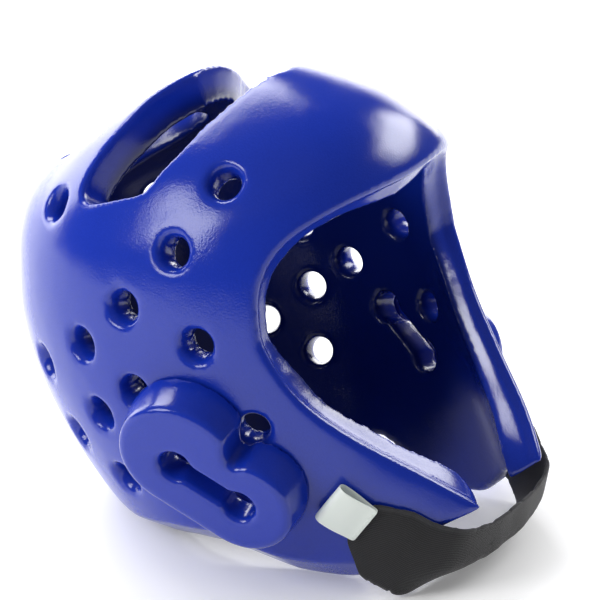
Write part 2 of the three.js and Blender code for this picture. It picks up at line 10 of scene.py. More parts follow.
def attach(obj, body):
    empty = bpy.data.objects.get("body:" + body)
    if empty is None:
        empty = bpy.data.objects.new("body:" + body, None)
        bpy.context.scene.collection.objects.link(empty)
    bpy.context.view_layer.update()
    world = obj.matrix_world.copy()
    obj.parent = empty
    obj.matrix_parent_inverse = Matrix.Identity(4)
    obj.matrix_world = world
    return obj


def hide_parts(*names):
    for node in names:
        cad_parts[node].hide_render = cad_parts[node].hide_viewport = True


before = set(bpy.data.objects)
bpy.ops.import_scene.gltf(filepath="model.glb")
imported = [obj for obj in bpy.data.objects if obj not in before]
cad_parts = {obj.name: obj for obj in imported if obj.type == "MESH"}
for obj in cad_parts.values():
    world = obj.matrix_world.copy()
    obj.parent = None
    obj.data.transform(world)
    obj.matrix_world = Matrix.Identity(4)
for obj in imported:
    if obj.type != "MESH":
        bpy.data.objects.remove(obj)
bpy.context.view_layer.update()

MM = 0.001

# Head form
HALF_WIDTH = 97
FRONT_REACH = 112
BACK_REACH = 111
CROWN_HEIGHT = 112
JAW_DEPTH = 112
SIDE_WALL = 17
BROW_WALL = 15
NAPE_WALL = 18
CROWN_WALL = 18

# Vents, band and lower rim
VENT_BORE = 13
VENT_MOUTH = 20
VENT_FLARE = 6
BAND_WIDTH = 19
LOWER_BEVEL = 13
LOWER_LIP = 0.36
NAPE_FLAT = 12

# Soft bead along the face rim
BEAD_RADIUS = 3.1
BEAD_INSET = 3.0
BEAD_RISE = -0.6
BEAD_SIDES = 12
BEAD_END = 0.97

# How far the cutting tools run past the wall, as shares of it
CUT_BEFORE = 0.6
CUT_PAST = 1.8
CROWN_CUT_ABOVE = 1.6
KEEP_PAST = 1.25
CROWN_AXIS = 0.18
FACE_MIDDLE = -0.4
FAR_OUTSIDE = 3

# Dipped skin: grid size and smoothing rounds
SHELL_VOXEL = 1.15
SHELL_ROUNDS = 20
PAD_VOXEL = 1.0
PAD_ROUNDS = 16
PAD_SEAT_GAP = 0.3

# Steps of round and drawn lines
RIM_STEPS = 4
CROWN_STEPS = 5
LOWER_SIDES = 120
VENT_SIDES = 28
PAD_STEPS = 30
WAIST_STEPS = 12
SLOT_STEPS = 24
STRAP_STEPS = 12
STRAP_ACROSS = 17
LABEL_STEPS = 8

# Ear pads
PAD_REAR_LOBE = 28
PAD_FRONT_LOBE = 24
PAD_LOBE_SPACING = 35
PAD_WAIST_DIP = 13
PAD_WAIST_SHIFT = 3
PAD_REAR_START = math.pi / 3
PAD_FRONT_END = math.pi * 11 / 18
PAD_HEIGHT = 16
PAD_SHOULDER = 3
PAD_DRAFT = 2
PAD_FORWARD = 28
PAD_DROP = 0.491 * JAW_DEPTH
PAD_TURN = 7
PAD_TILT = 16
PAD_SLANT = 54
SLOT_LENGTH = 48
SLOT_WIDTH = 9
SLOT_END_RADIUS = 7.5

# Chin strap and label
STRAP_WIDTH = 40
STRAP_THICKNESS = 2
STRAP_SEAT_GAP = 1
LABEL_WIDTH = 20
LABEL_REACH = 21
LABEL_LIFT = 7
LABEL_THICKNESS = 0.6
LABEL_SEAM = 3
LABEL_SEAT = 0.8
LABEL_SLACK = 0.6
LABEL_UNDER = [(0, -0.7), (3, -0.7), (7, -1.6), (11, -2.9)]
LABEL_OVER = [(12, 3.2), (8, 2.2), (4, 1.0), (0, 0.7)]
LABEL_BENDS = (22, 45, 67, 90, 113, 135, 158, 180)
STITCH_COUNT = 8
STITCH_SEAM = 1.6
STITCH_LENGTH = 1.7
STITCH_RADIUS = 0.3
STITCH_HEIGHT = 1.0

# Vinyl: colour, grain, the painted shade that darkens the hollow's inner walls, and how slowly its mask
# narrows towards the jaw
BLUE = (0.007, 0.029, 0.36)
GRAIN_SIZE = 1100
HOLLOW_PAINTED_SHADE = 0.28
JAW_TAPER = 0.66

# How the helmet rests
LEAN_DEGREES = 22
NAPE_LEVEL = 83
NAPE_FORWARD = -55
SETBACK = 15.0
HEAD_HEIGHT = 97.56

# Camera, found from the photograph's outline
VIEW_TURN = 56.3
VIEW_RISE = 23.8
VIEW_DISTANCE = 1300
VIEW_ASIDE = 22.4
VIEW_LENS = 166.1

# Sections of the outer form: height, half width, front, back, middle and how square its front half is.
FORM_SECTIONS = [
    (-1.25, 0.62, 1.05, 0.5, 0, 2.2),
    (-1.0, 0.74, 1.05, 0.63, 0, 2.2),
    (-0.76, 0.835, 1.03, 0.775, 0, 2.2),
    (-0.535, 0.918, 0.98, 0.875, 0, 2.2),
    (-0.27, 0.98, 0.955, 0.955, 0, 2.25),
    (0.0, 1.0, 0.975, 1.0, 0, 2.4),
    (0.25, 0.98, 1.0, 0.99, 0, 2.45),
    (0.445, 0.93, 0.99, 0.93, 0, 2.4),
    (0.59, 0.855, 0.94, 0.88, 0.0, 2.3),
    (0.715, 0.76, 0.81, 0.82, 0.03, 2.2),
    (0.83, 0.61, 0.61, 0.7, 0.08, 2.1),
    (0.92, 0.435, 0.41, 0.52, 0.13, 2.0),
    (0.975, 0.258, 0.24, 0.28, 0.16, 2.0),
    (1.0, 0, 0, 0, 0.18, 2.0),
]
FORM_COLUMNS = ("height", "width", "front", "back", "middle", "square")

# Face opening, right half, from the brow's middle down: inner edge and outer edge of the rim.
FACE_RIM = [
    (0, 0.866, 0.31, 0, 0.99, 0.43),
    (0.2, 0.862, 0.325, 0.25, 0.973, 0.433),
    (0.36, 0.84, 0.335, 0.475, 0.91, 0.424),
    (0.519, 0.759, 0.314, 0.644, 0.808, 0.396),
    (0.599, 0.672, 0.262, 0.734, 0.735, 0.358),
    (0.643, 0.612, 0.21, 0.793, 0.673, 0.3),
    (0.668, 0.564, 0.131, 0.835, 0.622, 0.22),
    (0.673, 0.536, 0.042, 0.855, 0.585, 0.12),
    (0.678, 0.53, -0.037, 0.87, 0.567, -0.02),
    (0.629, 0.581, -0.197, 0.835, 0.578, -0.184),
    (0.579, 0.643, -0.354, 0.747, 0.627, -0.363),
    (0.469, 0.741, -0.503, 0.639, 0.721, -0.539),
    (0.386, 0.813, -0.612, 0.536, 0.83, -0.688),
    (0.273, 0.884, -0.718, 0.423, 0.935, -0.836),
    (0.175, 0.92, -0.828, 0.32, 0.973, -0.946),
    (0.145, 0.92, -0.98, 0.29, 0.99, -1.035),
    (0.135, 0.92, -1.34, 0.28, 1.0, -1.34),
]
RIM_COLUMNS = ("in_x", "in_y", "in_z", "out_x", "out_y", "out_z")

# Front crown opening, right half, from the band's middle round to the front.
# The first rows are the band's edge.
FRONT_CROWN = [
    (0, 0.1), (0.22, 0.062), (0.43, 0.01), (0.6, -0.07), (0.72, -0.115), (0.78, -0.1), (0.8, -0.035),
    (0.8, 0.12), (0.785, 0.22), (0.7, 0.305), (0.62, 0.366), (0.52, 0.415), (0.4, 0.465), (0.22, 0.51),
    (0, 0.54),
]
REAR_BAND_ROWS = 3
REAR_CROWN = [
    (0, -0.68), (0.12, -0.67), (0.22, -0.63), (0.33, -0.55), (0.42, -0.44), (0.46, -0.34), (0.465, -0.26),
]

# Vents on the right side: forward and up.
SIDE_VENTS = [
    (0.565, 0.625), (0.35, 0.43), (0.063, 0.262), (-0.222, 0.142), (-0.563, 0.063), (-0.291, 0.688),
    (-0.74, 0.5),
    (0.355, 0.054), (-0.011, -0.082), (-0.262, -0.16), (-0.528, -0.26), (0.438, -0.337), (-0.306, -0.465),
]

# Lower rim: forward, drop and share of the bevel.
LOWER_RIM = [
    (-0.17, 0.8, 1), (0, 0.845, 1), (0.12, 0.935, 1), (0.23, 1.018, 1), (0.36, 1.074, 1), (0.45, 1.1, 1),
    (0.55, 1.105, 0.8), (0.66, 1.055, 0.6), (0.76, 0.995, 0.4), (0.86, 0.965, 0.2), (0.96, 0.955, 0.15),
    (1.3, 0.93, 0.15),
]

# Chin strap, right half: middle line, pitch to its front edge and to its rear edge, and how far it is held.
STRAP_ROWS = [
    (0.72, 0.579, -0.864, 36, 80, 1),
    (0.6, 0.693, -0.963, 44, 48, 1),
    (0.5, 0.751, -1.048, 46, 42, 0.9),
    (0.4, 0.825, -1.12, 52, 19, 0.5),
    (0.17, 0.857, -1.168, 54, -2, 0),
    (0, 0.862, -1.168, 54, -5, 0),
]
STRAP_COLUMNS = ("x", "y", "z", "front_pitch", "rear_pitch", "held")


def height_of(share):
    return share * (JAW_DEPTH if share < 0 else CROWN_HEIGHT)


def head_point(x, y, z):
    """A point given by its shares of the head's half width, front reach and height."""
    return Vector((x * HALF_WIDTH, y * FRONT_REACH, height_of(z)))


def smooth_row(rows, columns, place):
    """Smooth values between the rows of a table."""
    last = len(rows) - 1
    start = min(int(place), last - 1)
    t = place - start
    row = {}
    for index, column in enumerate(columns):
        before = rows[max(start - 1, 0)][index]
        low = rows[start][index]
        high = rows[start + 1][index]
        after = rows[min(start + 2, last)][index]
        slope_in = (high - before) / 2
        slope_out = (after - low) / 2
        row[column] = ((2 * t**3 - 3 * t**2 + 1) * low + (t**3 - 2 * t**2 + t) * slope_in
                       + (3 * t**2 - 2 * t**3) * high + (t**3 - t**2) * slope_out)
    return row


def smooth_line(rows, steps):
    """Points on a smooth line through a short list of two numbers each."""
    count = (len(rows) - 1) * steps
    line = [smooth_row(rows, ("x", "y"), i / steps) for i in range(count + 1)]
    return [(row["x"], row["y"]) for row in line]


def outer_sizes(grow=0.0):
    return {"width": HALF_WIDTH + grow, "front": FRONT_REACH + grow, "back": BACK_REACH + grow,
            "top": CROWN_HEIGHT + grow, "wall": 0}


INNER_SIZES = {"width": HALF_WIDTH - SIDE_WALL, "front": FRONT_REACH - BROW_WALL,
               "back": BACK_REACH - NAPE_WALL, "top": CROWN_HEIGHT - CROWN_WALL, "wall": SIDE_WALL}


def width_at(row, sizes):
    """Half width of a section; below the head's middle the side wall keeps its full thickness."""
    thicker = (1 - row["width"]) * sizes["wall"] if row["height"] < 0 else 0
    return row["width"] * sizes["width"] - thicker


def ring_point(row, angle, sizes, z):
    c = math.cos(angle)
    s = math.sin(angle)
    power = 2 / (row["square"] if s > 0 else 2)
    reach = row["front"] * sizes["front"] if s > 0 else row["back"] * sizes["back"]
    return Vector((
        width_at(row, sizes) * math.copysign(abs(c) ** power, c),
        row["middle"] * FRONT_REACH + reach * math.copysign(abs(s) ** power, s),
        z,
    ))


def section_at(z):
    """Section of the outer form at a height, or None above the crown."""
    high = next((i for i, row in enumerate(FORM_SECTIONS) if height_of(row[0]) > z), -1)
    if high < 0:
        return None
    high = max(high, 1)
    low = high - 1
    for _ in range(20):
        middle = (low + high) / 2
        if height_of(smooth_row(FORM_SECTIONS, FORM_COLUMNS, middle)["height"]) > z:
            high = middle
        else:
            low = middle
    return smooth_row(FORM_SECTIONS, FORM_COLUMNS, low)


def section_field(row, sizes, x, forward):
    """A section as a field: below 1 inside and above 1 outside."""
    power = row["square"] if forward > 0 else 2
    reach = row["front"] * sizes["front"] if forward > 0 else row["back"] * sizes["back"]
    return abs(x / width_at(row, sizes)) ** power + abs(forward / reach) ** power


def form_field(x, y, z):
    row = section_at(z)
    if row is None or row["width"] <= 0:
        return 2
    return section_field(row, outer_sizes(), x, y - row["middle"] * FRONT_REACH)


def find_edge(outside, field_at):
    low = 0.0
    high = outside
    for _ in range(20):
        middle = (low + high) / 2
        if field_at(middle) > 1:
            high = middle
        else:
            low = middle
    return low


def side_reach(y, z):
    return find_edge(HALF_WIDTH * 1.2, lambda x: form_field(x, y, z))


def crown_at(x, y):
    return find_edge(CROWN_HEIGHT, lambda z: form_field(x, y, z))


def on_form(point, sizes):
    """Where the form at its outer or inner sizes stands at the height and bearing of a point."""
    row = section_at(point.z if point.z < 0 else point.z * CROWN_HEIGHT / sizes["top"])
    centre = row["middle"] * FRONT_REACH
    forward = point.y - centre
    share = find_edge(3, lambda t: section_field(row, sizes, t * point.x, t * forward))
    return Vector((share * point.x, centre + share * forward, point.z))


def form_normal(point):
    step = 0.5
    slope = [form_field(*(point + offset)) - form_field(*(point - offset))
             for offset in (Vector((step, 0, 0)), Vector((0, step, 0)), Vector((0, 0, step)))]
    return Vector(slope).normalized()


# Head frame to the scene: lean back, turn to face -Y, stand on the floor, millimetres to metres.
HEAD_TO_SCENE = (Matrix.Scale(MM, 4) @ Matrix.Translation((0, SETBACK, HEAD_HEIGHT))
                 @ Matrix.Rotation(math.pi, 4, "Z") @ Matrix.Rotation(math.radians(LEAN_DEGREES), 4, "X"))


def face_outwards(bm):
    bmesh.ops.recalc_face_normals(bm, faces=bm.faces)
    if bm.calc_volume(signed=True) < 0:
        bmesh.ops.reverse_faces(bm, faces=bm.faces)


def loft(loops, start, end):
    """Closed bmesh through loops with equal numbers of points, ended by a point at each end."""
    count = len(loops[0])
    rings = len(loops) + 1
    bm = bmesh.new()
    bmesh.ops.create_uvsphere(bm, u_segments=count, v_segments=rings, radius=1)
    for vert in bm.verts:
        ring = round((1 - math.acos(max(-1.0, min(1.0, vert.co.z))) / math.pi) * rings)
        turn = round(math.atan2(vert.co.y, vert.co.x) / (2 * math.pi) * count) % count
        if ring == 0:
            vert.co = start
        elif ring == rings:
            vert.co = end
        else:
            vert.co = loops[ring - 1][turn]
    face_outwards(bm)
    return bm


def scene_object(name, bm):
    bm.transform(HEAD_TO_SCENE)
    mesh = bpy.data.meshes.new(name)
    bm.to_mesh(mesh)
    bm.free()
    made = bpy.data.objects.new(name, mesh)
    bpy.context.scene.collection.objects.link(made)
    return made


def carve(target, tool, kind="DIFFERENCE"):
    cut = target.modifiers.new(tool.name, "BOOLEAN")
    cut.operation = kind
    cut.solver = "MANIFOLD"
    cut.object = tool


def settle(target, tools):
    """Fixes a piece's modifiers into its mesh and removes the tools."""
    depsgraph = bpy.context.evaluated_depsgraph_get()
    mesh = bpy.data.meshes.new_from_object(target.evaluated_get(depsgraph))
    target.modifiers.clear()
    old = target.data
    target.data = mesh
    bpy.data.meshes.remove(old)
    for tool in tools:
        bpy.data.meshes.remove(tool.data)


def soften(target, voxel, rounds):
    """Voxel skin over the carved solid, with its edges rounded as a dipped skin rounds them."""
    skin = target.modifiers.new("skin", "REMESH")
    skin.mode = "VOXEL"
    skin.voxel_size = voxel * MM
    skin.use_smooth_shade = True
    ease = target.modifiers.new("ease", "SMOOTH")
    ease.factor = 0.5
    ease.iterations = rounds


def head_form(sizes, around, rings):
    last = len(FORM_SECTIONS) - 1
    loops = []
    for i in range(rings):
        row = smooth_row(FORM_SECTIONS, FORM_COLUMNS, last * i / rings)
        z = row["height"] * (JAW_DEPTH if row["height"] < 0 else sizes["top"])
        loops.append([ring_point(row, 2 * math.pi * k / around, sizes, z) for k in range(around)])
    crown = Vector((0, FORM_SECTIONS[-1][4] * FRONT_REACH, sizes["top"]))
    return loft(loops, Vector((0, 0, loops[0][0].z)), crown)


def rim_edges():
    """Pairs of points on the face rim's inner and outer edges, from the brow down the right side."""
    pairs = []
    for i in range((len(FACE_RIM) - 1) * RIM_STEPS + 1):
        row = smooth_row(FACE_RIM, RIM_COLUMNS, i / RIM_STEPS)
        low = head_point(row["in_x"], row["in_y"], row["in_z"])
        high = head_point(row["out_x"], row["out_y"], row["out_z"])
        pairs.append((on_form(low, INNER_SIZES), on_form(high, outer_sizes())))
    return pairs


def across_head(points):
    return [Vector((-p.x, p.y, p.z)) for p in points]


def rim_bead():
    """Soft bead that the dipped skin leaves along the rim's outer edge, as a tube from jaw to jaw."""
    half = [high.lerp(low, BEAD_INSET / (high - low).length) + form_normal(high) * BEAD_RISE
            for low, high in rim_edges() if high.z > -BEAD_END * JAW_DEPTH]
    path = list(reversed(half)) + across_head(half[1:])
    loops = []
    for i, point in enumerate(path):
        along = (path[min(i + 1, len(path) - 1)] - path[max(i - 1, 0)]).normalized()
        side = along.cross(Vector((0, 0, 1))).normalized()
        up = side.cross(along)
        loops.append([point + (side * math.cos(a) + up * math.sin(a)) * BEAD_RADIUS
                      for a in (2 * math.pi * k / BEAD_SIDES for k in range(BEAD_SIDES))])
    return loft(loops, path[0], path[-1])


def face_cutter():
    pairs = rim_edges()
    inner = [low.lerp(high, -CUT_BEFORE) for low, high in pairs]
    outer = [low.lerp(high, CUT_PAST) for low, high in pairs]
    loops = [half + across_head(reversed(half[1:])) for half in (inner, outer)]
    behind = Vector((0, 0, FACE_MIDDLE * JAW_DEPTH))
    before = Vector((0, FAR_OUTSIDE * FRONT_REACH, FACE_MIDDLE * JAW_DEPTH))
    return loft(loops, behind, before)


def crown_cutter(half):
    axis_height = CROWN_AXIS * CROWN_HEIGHT
    above = []
    below = []
    for x, y in half:
        point = Vector((x, y, crown_at(x, y)))
        direction = Vector((x, 0, point.z - axis_height)).normalized()
        above.append(point + direction * CROWN_CUT_ABOVE * CROWN_WALL)
        below.append(point - direction * CUT_PAST * CROWN_WALL)
    loops = [side + across_head(reversed(side[1:-1])) for side in (below, above)]
    middle = (half[0][1] + half[-1][1]) / 2
    return loft(loops, Vector((0, middle, 0.5 * CROWN_HEIGHT)), Vector((0, middle, 1.6 * CROWN_HEIGHT)))


def in_plan(rows, back_by=0):
    return [(x * HALF_WIDTH, y * FRONT_REACH - back_by) for x, y in rows]


def front_crown_line():
    return in_plan(smooth_line(FRONT_CROWN, CROWN_STEPS))


def rear_crown_line():
    band = in_plan(reversed(FRONT_CROWN[:REAR_BAND_ROWS]), BAND_WIDTH)
    return smooth_line(in_plan(REAR_CROWN) + band, CROWN_STEPS)


def lower_rim_line():
    slope = math.tan(math.radians(LEAN_DEGREES))
    nape = [(y, -NAPE_LEVEL - slope * (y - NAPE_FORWARD), LOWER_BEVEL)
            for y in (-1.6 * BACK_REACH, NAPE_FORWARD + NAPE_FLAT)]
    return nape + [(y * FRONT_REACH, -z * JAW_DEPTH, bevel * LOWER_BEVEL) for y, z, bevel in LOWER_RIM]


def lower_rim_at(y):
    line = lower_rim_line()
    after = max(1, next(i for i, row in enumerate(line) if row[0] > y))
    low, high = line[after - 1], line[after]
    share = (y - low[0]) / (high[0] - low[0])
    return low[1] + (high[1] - low[1]) * share, low[2] + (high[2] - low[2]) * share


def lower_tool():
    """Room kept above the lower rim: it slants in across the wall to a narrow lip, then cuts level."""
    loops = [[], [], [], [], []]
    for k in range(LOWER_SIDES):
        angle = 2 * math.pi * k / LOWER_SIDES
        z, bevel = lower_rim_at(0)
        for _ in range(24):
            section = section_at(z)
            inside = ring_point(section, angle, INNER_SIZES, z)
            lip = inside.lerp(ring_point(section, angle, outer_sizes(), z), LOWER_LIP)
            found, bevel = lower_rim_at(lip.y)
            z = (z + found) / 2
        high = z + bevel
        edge = ring_point(section_at(high), angle, outer_sizes(), high)
        core = Vector((0.4 * inside.x, 0.4 * inside.y, 0))
        core.z = lower_rim_at(core.y)[0]
        wide = Vector((1.8 * edge.x, 1.8 * edge.y, high + bevel))
        for loop, point in zip(loops, (core, lip, lip.lerp(edge, KEEP_PAST), wide,
                                       Vector((wide.x, wide.y, 2 * CROWN_HEIGHT)))):
            loop.append(point)
    start = Vector((0, 0, lower_rim_at(0)[0]))
    return loft(loops, start, Vector((0, 0, 2.2 * CROWN_HEIGHT)))


def vents():
    """All vent tools as one bmesh: each a flared bore spun about its own axis."""
    bore = VENT_BORE / 2
    mouth = VENT_MOUTH / 2
    profile = [(0, -1.35 * SIDE_WALL), (mouth + 1, -1.35 * SIDE_WALL), (bore + 1, -SIDE_WALL + 1),
               (bore, -0.7 * SIDE_WALL), (bore, -VENT_FLARE),
               (bore + 0.25 * (mouth - bore), -0.55 * VENT_FLARE),
               (bore + 0.6 * (mouth - bore), -0.2 * VENT_FLARE), (mouth, 0.4), (mouth + 1, 4), (0, 4)]
    whole = bmesh.new()
    for forward, up in SIDE_VENTS:
        place = head_point(0, forward, up)
        place.x = side_reach(place.y, place.z)
        normal = form_normal(place)
        for side in (1, -1):
            verts = [whole.verts.new((radius, 0, z)) for radius, z in profile]
            edges = [whole.edges.new(pair) for pair in zip(verts, verts[1:])]
            spun = bmesh.ops.spin(whole, geom=verts + edges, cent=(0, 0, 0), axis=(0, 0, 1),
                                  angle=2 * math.pi, steps=VENT_SIDES, use_merge=True)
            fresh = [v for v in whole.verts if v.tag is False]
            direction = Vector((side * normal.x, normal.y, normal.z))
            turn = direction.to_track_quat("Z", "Y").to_matrix().to_4x4()
            shift = Matrix.Translation((side * place.x, place.y, place.z))
            bmesh.ops.transform(whole, matrix=shift @ turn, verts=fresh)
            for vert in fresh:
                vert.tag = True
    bmesh.ops.remove_doubles(whole, verts=whole.verts, dist=0.01)
    face_outwards(whole)
    return whole


def arc(centre, radius, start, end, count):
    return [Vector((centre[0] + radius * math.cos(start + (end - start) * i / count),
                    centre[1] + radius * math.sin(start + (end - start) * i / count), 0))
            for i in range(count + 1)]


def pad_outline(grow):
    half = PAD_LOBE_SPACING / 2
    rear = PAD_REAR_LOBE + grow
    front = PAD_FRONT_LOBE + grow
    rise = PAD_REAR_LOBE - PAD_FRONT_LOBE
    points = arc((-half, rise), rear, PAD_REAR_START, 1.5 * math.pi, PAD_STEPS)
    points += arc((half, 0), front, -math.pi / 2, PAD_FRONT_END, PAD_STEPS)
    first = points[-1]
    last = points[0]
    waist = Vector((PAD_WAIST_SHIFT, PAD_FRONT_LOBE - PAD_WAIST_DIP + grow, 0))
    for i in range(1, WAIST_STEPS):
        t = i / WAIST_STEPS
        points.append(first * (1 - t) ** 2 + waist * 2 * t * (1 - t) + last * t * t)
    return points


def slot_outline(grow):
    half = SLOT_LENGTH / 2 - SLOT_END_RADIUS
    radius = SLOT_END_RADIUS + grow
    neck = math.asin((SLOT_WIDTH / 2 + grow) / radius)
    points = arc((-half, 0), radius, neck, 2 * math.pi - neck, SLOT_STEPS)
    return points + arc((half, 0), radius, math.pi + neck, 3 * math.pi - neck, SLOT_STEPS)


def pad_frame():
    middle = Vector((0, PAD_FORWARD, -PAD_DROP))
    middle.x = side_reach(middle.y, middle.z) + PAD_HEIGHT
    normal = Vector((1, math.tan(math.radians(PAD_TURN)), -math.tan(math.radians(PAD_TILT)))).normalized()
    forward = (Vector((0, 1, 0)) - normal * normal.y).normalized()
    up = normal.cross(forward)
    slant = math.radians(PAD_SLANT)
    along = forward * math.cos(slant) - up * math.sin(slant)
    across = normal.cross(along)
    turn = Matrix((along, across, normal)).transposed().to_4x4()
    return Matrix.Translation(middle) @ turn


def levels_solid(outline, levels, place):
    """Closed solid through copies of an outline at several heights, grown by a margin at each."""
    loops = [[place @ Vector((p.x, p.y, z)) for p in outline(grow)] for grow, z in levels]
    return loft(loops, place @ Vector((0, 0, levels[0][1])), place @ Vector((0, 0, levels[-1][1])))


def flipped(bm):
    """The same solid on the other side of the head."""
    copy = bm.copy()
    bmesh.ops.scale(copy, vec=(-1, 1, 1), verts=copy.verts)
    face_outwards(copy)
    return copy


def make_shell():
    shell = scene_object("shell_skin", head_form(outer_sizes(), 144, 104))
    slot = levels_solid(slot_outline, [(0.3, -PAD_HEIGHT - 2.6 * SIDE_WALL), (0.3, 0)], pad_frame())
    tools = [
        scene_object("hollow", head_form(INNER_SIZES, 120, 90)),
        scene_object("face_tool", face_cutter()),
        scene_object("crown_front_tool", crown_cutter(front_crown_line())),
        scene_object("crown_rear_tool", crown_cutter(rear_crown_line())),
        scene_object("slot_tool_left", flipped(slot)),
        scene_object("slot_tool_right", slot),
        scene_object("vent_tools", vents()),
    ]
    for tool in tools:
        carve(shell, tool)
    tools.append(scene_object("rim_bead", rim_bead()))
    carve(shell, tools[-1], "UNION")
    tools.append(scene_object("lower_tool", lower_tool()))
    carve(shell, tools[-1], "INTERSECT")
    soften(shell, SHELL_VOXEL, SHELL_ROUNDS)
    settle(shell, tools)
    return shell


def make_pad(name, side):
    body = levels_solid(pad_outline, [(PAD_DRAFT, -PAD_HEIGHT - SIDE_WALL), (PAD_DRAFT, -PAD_HEIGHT),
                                      (0, -PAD_SHOULDER), (-0.3, -1.4), (-PAD_SHOULDER, 0)], pad_frame())
    hole = levels_solid(slot_outline, [(0, -PAD_HEIGHT - 3 * SIDE_WALL), (0, -2), (1.5, 0), (1.5, 4)],
                        pad_frame())
    if side < 0:
        body = flipped(body)
        hole = flipped(hole)
    pad = scene_object(name, body)
    tools = [scene_object(name + "_hole", hole),
             scene_object(name + "_seat", head_form(outer_sizes(PAD_SEAT_GAP), 120, 90))]
    for tool in tools:
        carve(pad, tool)
    soften(pad, PAD_VOXEL, PAD_ROUNDS)
    settle(pad, tools)
    return pad


def strap_skin(row, columns):
    middle = head_point(row["x"], row["y"], row["z"])
    points = []
    for i in range(columns):
        share = 1 - 2 * i / (columns - 1)
        blend = 0.5 + 0.5 * math.tanh(share * 4)
        pitch = math.radians(row["rear_pitch"] + (row["front_pitch"] - row["rear_pitch"]) * blend)
        reach = share * STRAP_WIDTH / 2
        point = middle + Vector((0, reach * math.cos(pitch), reach * math.sin(pitch)))
        if row["held"] > 0:
            seated = point.copy()
            seated.x = side_reach(point.y, point.z)
            seated += form_normal(seated) * STRAP_SEAT_GAP
            point = point.lerp(seated, min(1.0, row["held"]))
        points.append(point)
    return points


def strap_sections(steps, columns):
    count = (len(STRAP_ROWS) - 1) * steps
    skins = []
    for i in range(count + 1):
        row = smooth_row(STRAP_ROWS, STRAP_COLUMNS, i / steps)
        if i == count:
            row["x"] = 0
        skins.append(strap_skin(row, columns))
    sections = []
    for index, skin in enumerate(skins):
        section = []
        for column, point in enumerate(skin):
            before = skins[max(index - 1, 0)][column]
            after = skins[min(index + 1, count)][column]
            along = Vector((-1, 0, 0)) if index == count else after - before
            across = skin[min(column + 1, columns - 1)] - skin[max(column - 1, 0)]
            section.append((point, across.cross(along).normalized()))
        sections.append(section)
    return sections


def mean_of(points):
    return sum(points, Vector()) / len(points)


def make_strap():
    columns = STRAP_ACROSS
    right = strap_sections(STRAP_STEPS, columns)
    loops = []
    for section in right:
        outer = [point + outward * STRAP_THICKNESS for point, outward in section]
        loops.append(outer + [point for point, _ in reversed(section)])
    loops += [across_head(loop) for loop in reversed(loops[:-1])]
    bm = loft(loops, mean_of(loops[0]), mean_of(loops[-1]))
    uv = bm.loops.layers.uv.new("weave")
    places = {}
    run = 0.0
    for k, loop in enumerate(loops):
        if k:
            run += (loop[columns // 2] - loops[k - 1][columns // 2]).length
        for i, point in enumerate(loop):
            column = i if i < columns else 2 * columns - 1 - i
            places[tuple(round(c, 3) for c in point)] = (run / STRAP_WIDTH, column / (columns - 1))
    for face in bm.faces:
        for corner in face.loops:
            corner[uv].uv = places.get(tuple(round(c, 3) for c in corner.vert.co), (0, 0.5))
    strap = scene_object("elastic_strap", bm)
    strap.data.shade_smooth()
    edge = strap.modifiers.new("edge", "SUBSURF")
    edge.levels = 2
    edge.render_levels = 2
    return strap


def label_frame():
    """The label's lower corner on the strap's end, and its directions along, across and outwards."""
    end = strap_sections(2, 5)[0]
    outers = [point + outward * STRAP_THICKNESS for point, outward in end]
    across = (end[0][0] - end[2][0]).normalized()
    along = end[1][1].cross(across).normalized()
    normal = across.cross(along)
    corner = (outers[0] - across * (LABEL_WIDTH - LABEL_SLACK / 2) - along * LABEL_SEAM
              + normal * (LABEL_THICKNESS * 1.2 + LABEL_SEAT))
    return corner, along, across, normal


def make_label():
    lift = LABEL_LIFT / 2
    fold = LABEL_REACH - lift
    bends = [math.radians(degrees) for degrees in LABEL_BENDS]
    line = LABEL_UNDER + [(fold, -lift)]
    line += [(fold + lift * math.sin(bend), -lift * math.cos(bend)) for bend in bends] + LABEL_OVER
    corner, along, across, normal = label_frame()
    bm = bmesh.new()
    verts = [bm.verts.new(corner + along * x + normal * z) for x, z in line]
    edges = [bm.edges.new(pair) for pair in zip(verts, verts[1:])]
    for _ in range(LABEL_STEPS):
        grown = bmesh.ops.extrude_edge_only(bm, edges=edges)["geom"]
        edges = [item for item in grown if isinstance(item, bmesh.types.BMEdge)
                 and all(v in grown for v in item.verts)]
        bmesh.ops.translate(bm, vec=across * ((LABEL_WIDTH - LABEL_SLACK) / LABEL_STEPS),
                            verts=[item for item in grown if isinstance(item, bmesh.types.BMVert)])
    bmesh.ops.recalc_face_normals(bm, faces=bm.faces)
    label = scene_object("care_ribbon", bm)
    label.data.shade_smooth()
    wall = label.modifiers.new("wall", "SOLIDIFY")
    wall.thickness = 0.4 * MM
    wall.offset = 0
    rounding = label.modifiers.new("rounding", "SUBSURF")
    rounding.levels = 2
    rounding.render_levels = 2
    return label


def make_stitches():
    """Row of short threads across the label's sewn end."""
    corner, along, across, normal = label_frame()
    bm = bmesh.new()
    turn = Matrix((normal, along, across)).transposed().to_4x4()
    seam = corner + along * STITCH_SEAM + normal * STITCH_HEIGHT
    for i in range(STITCH_COUNT):
        middle = seam + across * (LABEL_WIDTH - LABEL_SLACK) * (i + 0.5) / STITCH_COUNT
        bmesh.ops.create_cone(bm, cap_ends=True, segments=8, radius1=STITCH_RADIUS, radius2=STITCH_RADIUS,
                              depth=STITCH_LENGTH, matrix=Matrix.Translation(middle) @ turn)
    face_outwards(bm)
    stitches = scene_object("label_stitches", bm)
    stitches.data.shade_smooth()
    rounding = stitches.modifiers.new("rounding", "SUBSURF")
    rounding.levels = 1
    rounding.render_levels = 1
    return stitches


